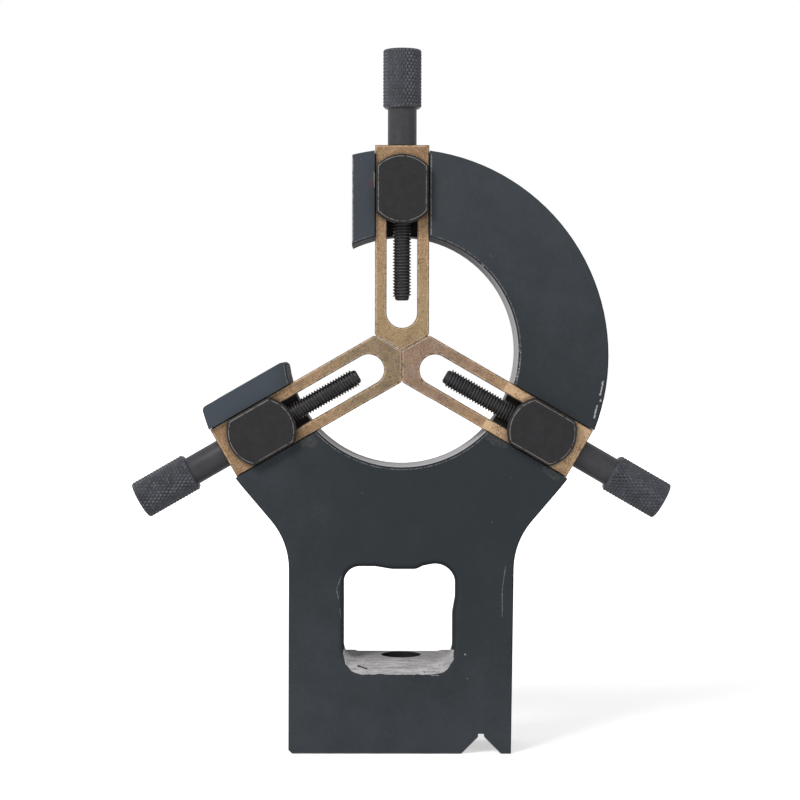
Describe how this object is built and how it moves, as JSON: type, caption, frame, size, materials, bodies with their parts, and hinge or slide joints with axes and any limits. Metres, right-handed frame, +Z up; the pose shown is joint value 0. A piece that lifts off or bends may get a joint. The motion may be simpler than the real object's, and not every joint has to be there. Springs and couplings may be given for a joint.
{
  "type": "lathe steady rest",
  "caption": "Cast steady rest for a small lathe: an open ring on a pedestal guides slotted bronze fingers, moved by knurled screws and held by clamp bolts.",
  "frame": {"origin": "axis of the bed clamp hole on the plane of the lathe bed, halfway through the casting's thickness", "axes": "+Z up from the bed to the work axis, +Y to the rear along the work axis, +X to the right seen from the front"},
  "size_m": [0.1754, 0.0386, 0.2281],
  "materials": {
    "painted_casting": "grey cast iron under thin dark blue-grey satin paint, bare where machined",
    "finger_bronze": "dull tarnished bronze with brighter rubbed edges",
    "blackened_steel": "black oxide steel, satin",
    "spring_steel": "dark spring steel",
    "hardware_steel": "black oxide steel, satin"
  },
  "bodies": {
    "frame": {"body_casting": "painted_casting", "top_clamp_bolt": "blackened_steel", "right_clamp_bolt": "blackened_steel", "left_clamp_bolt": "blackened_steel"},
    "top_finger_bar": {"top_finger": "finger_bronze"},
    "top_screw": {"top_adjusting_screw": "blackened_steel", "top_retaining_ring": "spring_steel"},
    "top_washer": {"top_clamp_washer": "hardware_steel"},
    "top_nut": {"top_clamp_nut": "hardware_steel"},
    "right_finger_bar": {"right_finger": "finger_bronze"},
    "right_screw": {"right_adjusting_screw": "blackened_steel", "right_retaining_ring": "spring_steel"},
    "right_washer": {"right_clamp_washer": "hardware_steel"},
    "right_nut": {"right_clamp_nut": "hardware_steel"},
    "left_finger_bar": {"left_finger": "finger_bronze"},
    "left_screw": {"left_adjusting_screw": "blackened_steel", "left_retaining_ring": "spring_steel"},
    "left_washer": {"left_clamp_washer": "hardware_steel"},
    "left_nut": {"left_clamp_nut": "hardware_steel"}
  },
  "joints": [
    {"name": "top_finger_slide", "type": "slide", "parent": "frame", "child": "top_finger_bar", "axis": [0, 0, 1], "range_m": [0, 0.03]},
    {"name": "top_screw_turn", "type": "hinge", "parent": "top_finger_bar", "child": "top_screw", "pos_m": [0, -0.006, 0.1821], "axis": [0, 0, 1], "range_deg": [0, 10800]},
    {"name": "top_washer_slide", "type": "slide", "parent": "frame", "child": "top_washer", "axis": [0, 1, 0], "range_m": [0, 0.00125]},
    {"name": "top_nut_turn", "type": "hinge", "parent": "top_washer", "child": "top_nut", "pos_m": [0, 0.0173, 0.1821], "axis": [0, 1, 0], "range_deg": [0, 360]},
    {"name": "right_finger_slide", "type": "slide", "parent": "frame", "child": "right_finger_bar", "axis": [0.866, 0, -0.5], "range_m": [0, 0.03]},
    {"name": "right_screw_turn", "type": "hinge", "parent": "right_finger_bar", "child": "right_screw", "pos_m": [0.04512, -0.006, 0.10395], "axis": [0.866, 0, -0.5], "range_deg": [0, 10800]},
    {"name": "right_washer_slide", "type": "slide", "parent": "frame", "child": "right_washer", "axis": [0, 1, 0], "range_m": [0, 0.00125]},
    {"name": "right_nut_turn", "type": "hinge", "parent": "right_washer", "child": "right_nut", "pos_m": [0.04512, 0.0173, 0.10395], "axis": [0, 1, 0], "range_deg": [0, 360]},
    {"name": "left_finger_slide", "type": "slide", "parent": "frame", "child": "left_finger_bar", "axis": [-0.866, 0, -0.5], "range_m": [0, 0.03]},
    {"name": "left_screw_turn", "type": "hinge", "parent": "left_finger_bar", "child": "left_screw", "pos_m": [-0.04512, -0.006, 0.10395], "axis": [-0.866, 0, -0.5], "range_deg": [0, 10800]},
    {"name": "left_washer_slide", "type": "slide", "parent": "frame", "child": "left_washer", "axis": [0, 1, 0], "range_m": [0, 0.00125]},
    {"name": "left_nut_turn", "type": "hinge", "parent": "left_washer", "child": "left_nut", "pos_m": [-0.04512, 0.0173, 0.10395], "axis": [0, 1, 0], "range_deg": [0, 360]}
  ],
  "couplings": [
    {"joint": "top_screw_turn", "follows": "top_finger_slide", "rad_per_m": 6283.2},
    {"joint": "top_washer_slide", "follows": "top_nut_turn", "m_per_rad": 0.00019894},
    {"joint": "right_screw_turn", "follows": "right_finger_slide", "rad_per_m": 6283.2},
    {"joint": "right_washer_slide", "follows": "right_nut_turn", "m_per_rad": 0.00019894},
    {"joint": "left_screw_turn", "follows": "left_finger_slide", "rad_per_m": 6283.2},
    {"joint": "left_washer_slide", "follows": "left_nut_turn", "m_per_rad": 0.00019894}
  ]
}
